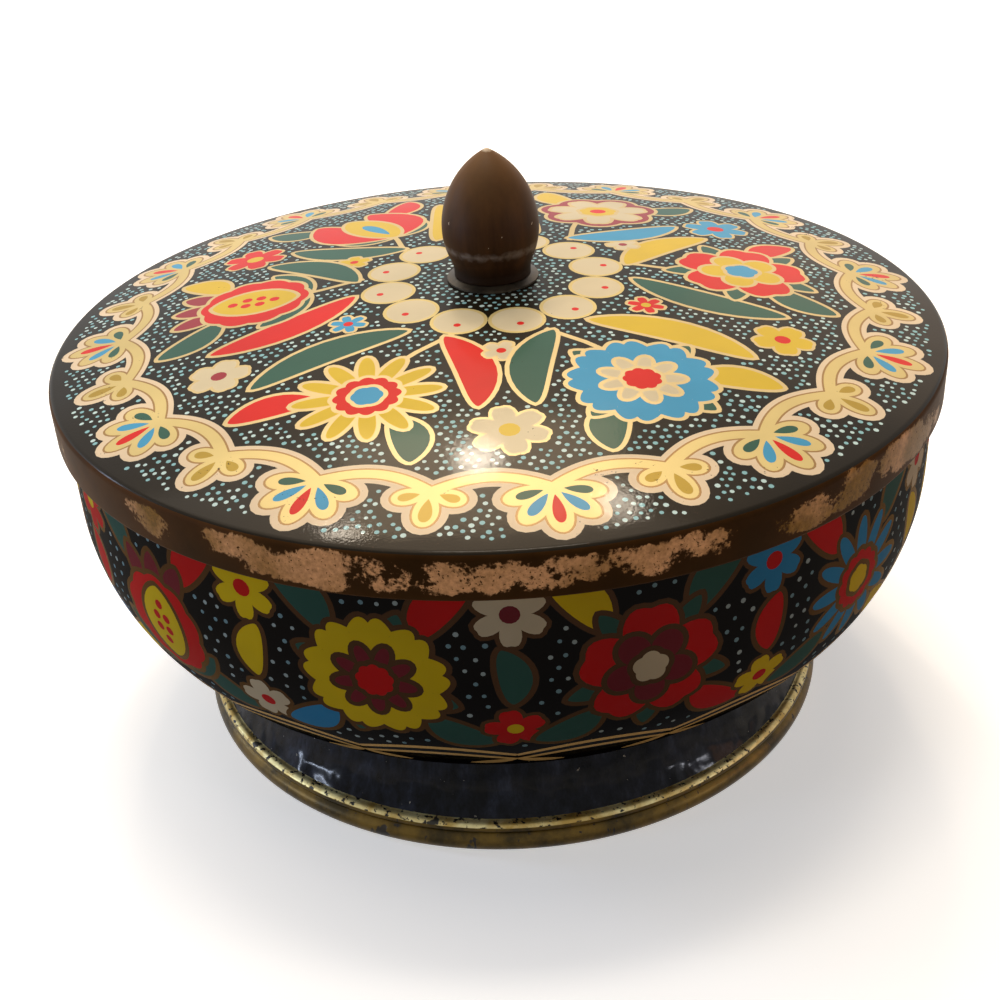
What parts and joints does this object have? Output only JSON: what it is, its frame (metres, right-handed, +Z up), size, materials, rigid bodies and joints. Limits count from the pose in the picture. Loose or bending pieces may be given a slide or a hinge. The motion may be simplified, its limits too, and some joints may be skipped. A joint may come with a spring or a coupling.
{
  "type": "lidded tin bowl",
  "caption": "Round printed-tin bowl on a flared foot ring, with a shallow domed lift-off lid and a turned bud-shaped knob.",
  "frame": {"origin": "centre of the foot ring, on the surface that the bowl stands on", "axes": "+Z up along the bowl's axis of revolution; -Y is the side that the picture shows"},
  "size_m": [0.2, 0.2, 0.1311],
  "materials": {
    "printed_tin_bowl": "gloss lacquer over lithographed tinplate",
    "black_enamel_tin": "gloss black enamel with a worn gold hem",
    "printed_tin_lid": "gloss lacquer over lithographed tinplate",
    "lacquered_wood": "dark brown satin lacquer on turned wood",
    "bronzed_metal": "dark bronzed",
    "zinc_steel": "zinc plated"
  },
  "bodies": {
    "bowl": {"bowl_shell": "printed_tin_bowl", "foot_ring": "black_enamel_tin"},
    "lid": {"lid_shell": "printed_tin_lid", "knob": "lacquered_wood", "knob_collar": "bronzed_metal", "knob_screw": "zinc_steel", "screw_washer": "zinc_steel"}
  },
  "joints": [
    {"name": "lid_lift", "type": "slide", "parent": "bowl", "child": "lid", "axis": [0, 0, 1], "range_m": [0, 0.12]}
  ]
}
